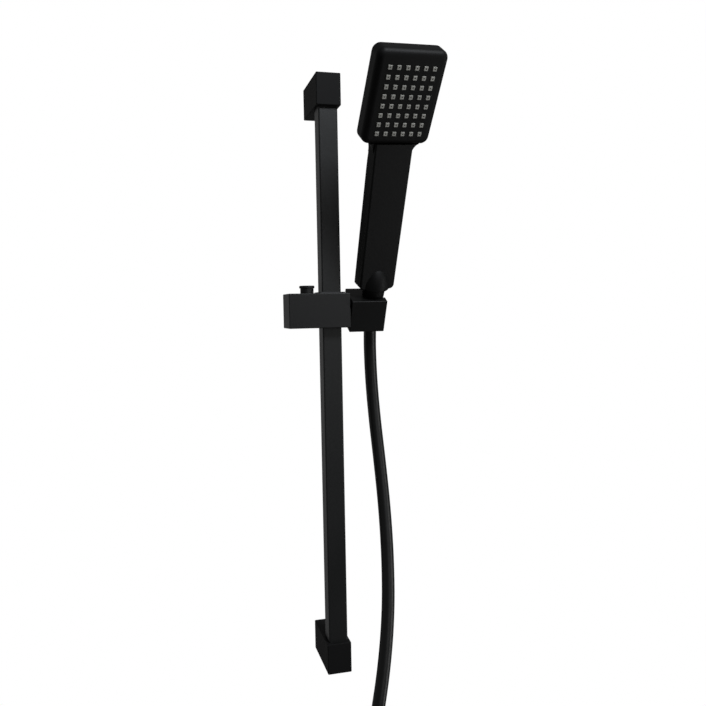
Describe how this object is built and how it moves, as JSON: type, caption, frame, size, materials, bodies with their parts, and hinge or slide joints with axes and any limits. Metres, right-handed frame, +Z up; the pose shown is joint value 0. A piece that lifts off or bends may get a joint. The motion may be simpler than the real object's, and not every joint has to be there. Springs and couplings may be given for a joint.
{
  "type": "hand shower with riser rail",
  "caption": "Hand shower with a flat rectangular head in a tilting holder on a square wall rail, with slider, press button and smooth hose.",
  "frame": {"origin": "on the wall plane, midway between the two wall screw holes", "axes": "+X to the right as seen by someone facing the wall, +Y into the wall, +Z up along the rail"},
  "size_m": [0.2309, 0.2046, 0.845],
  "materials": {
    "rail_black": "satin black powder coat",
    "bracket_black": "matt black powder coat",
    "black_plastic": "satin black moulded plastic",
    "inner_plastic": "dark nylon",
    "zinc": "plain cast zinc alloy",
    "steel": "stainless steel",
    "brass": "turned brass",
    "fitting_black": "satin black plated brass",
    "hose_black": "smooth satin black PVC",
    "seal_rubber": "soft black rubber",
    "nozzle_grey": "light grey silicone"
  },
  "bodies": {
    "rail": {"rail_tube": "rail_black", "upper_bracket": "bracket_black", "lower_bracket": "bracket_black", "upper_wall_block": "zinc", "lower_wall_block": "zinc", "upper_rail_plug": "inner_plastic", "lower_rail_plug": "inner_plastic", "rail_screws": "steel", "bracket_grub_screws": "steel"},
    "slider": {"slider_body": "black_plastic", "slider_end_cap": "black_plastic", "guide_bush": "inner_plastic", "button_spring": "steel", "brake_spring": "steel"},
    "button": {"release_button": "black_plastic"},
    "brake": {"brake_shoe": "inner_plastic", "brake_pad": "seal_rubber"},
    "holder": {"holder_block": "black_plastic", "pivot_pin": "steel", "pivot_screw": "steel", "friction_washer": "inner_plastic"},
    "hose_head": {"hose_ferrule": "brass", "swivel_washer": "inner_plastic"},
    "handset": {"handset_shell": "black_plastic", "spray_plate": "black_plastic", "nozzle_mat": "nozzle_grey", "distributor_plate": "inner_plastic", "chamber_seal": "seal_rubber", "plate_screws": "steel", "water_tube": "inner_plastic", "inlet_spigot": "brass", "flow_restrictor": "inner_plastic", "conical_nut": "black_plastic", "hose_washer": "seal_rubber"},
    "hose": {"hose_hang": "hose_black", "hose_coil": "hose_black", "coil_tie": "inner_plastic", "inlet_ferrule": "fitting_black"},
    "inlet_fitting": {"inlet_nut": "fitting_black", "inlet_washer": "seal_rubber"}
  },
  "joints": [
    {"name": "slider_slide", "type": "slide", "parent": "rail", "child": "slider", "axis": [0, 0, 1], "range_m": [-0.345, 0.19]},
    {"name": "button_press", "type": "slide", "parent": "slider", "child": "button", "axis": [0, 0, -1], "range_m": [0, 0.004], "stiffness_N_per_m": 1500, "springref_m": -0.002, "deforming": ["button_spring"]},
    {"name": "brake_release", "type": "slide", "parent": "slider", "child": "brake", "axis": [-1, 0, 0], "range_m": [0, 0.0015], "deforming": ["brake_spring"]},
    {"name": "holder_tilt", "type": "hinge", "parent": "slider", "child": "holder", "pos_m": [0.0463, -0.0565, 0.075], "axis": [1, 0, 0], "range_deg": [-13, 15]},
    {"name": "handset_lift", "type": "slide", "parent": "holder", "child": "hose_head", "axis": [0, -0.4462, 0.8949], "range_m": [0, 0.045], "deforming": ["hose_hang"]},
    {"name": "handset_swivel", "type": "hinge", "parent": "hose_head", "child": "handset", "pos_m": [0.0463, -0.0565, 0.075], "axis": [0, -0.4462, 0.8949], "range_deg": [-90, 90]},
    {"name": "hose_swing", "type": "hinge", "parent": "hose_head", "child": "hose", "pos_m": [0.0463, -0.05057, 0.0631], "axis": [1, 0, 0], "range_deg": [-15, 13]},
    {"name": "inlet_nut_spin", "type": "hinge", "parent": "hose", "child": "inlet_fitting", "pos_m": [0.011, -0.11364, -0.48397], "axis": [0, 0.0327, -0.9995], "continuous": true}
  ],
  "couplings": [
    {"joint": "brake_release", "follows": "button_press", "ratio": 0.375},
    {"joint": "hose_swing", "follows": "holder_tilt", "ratio": -1}
  ]
}
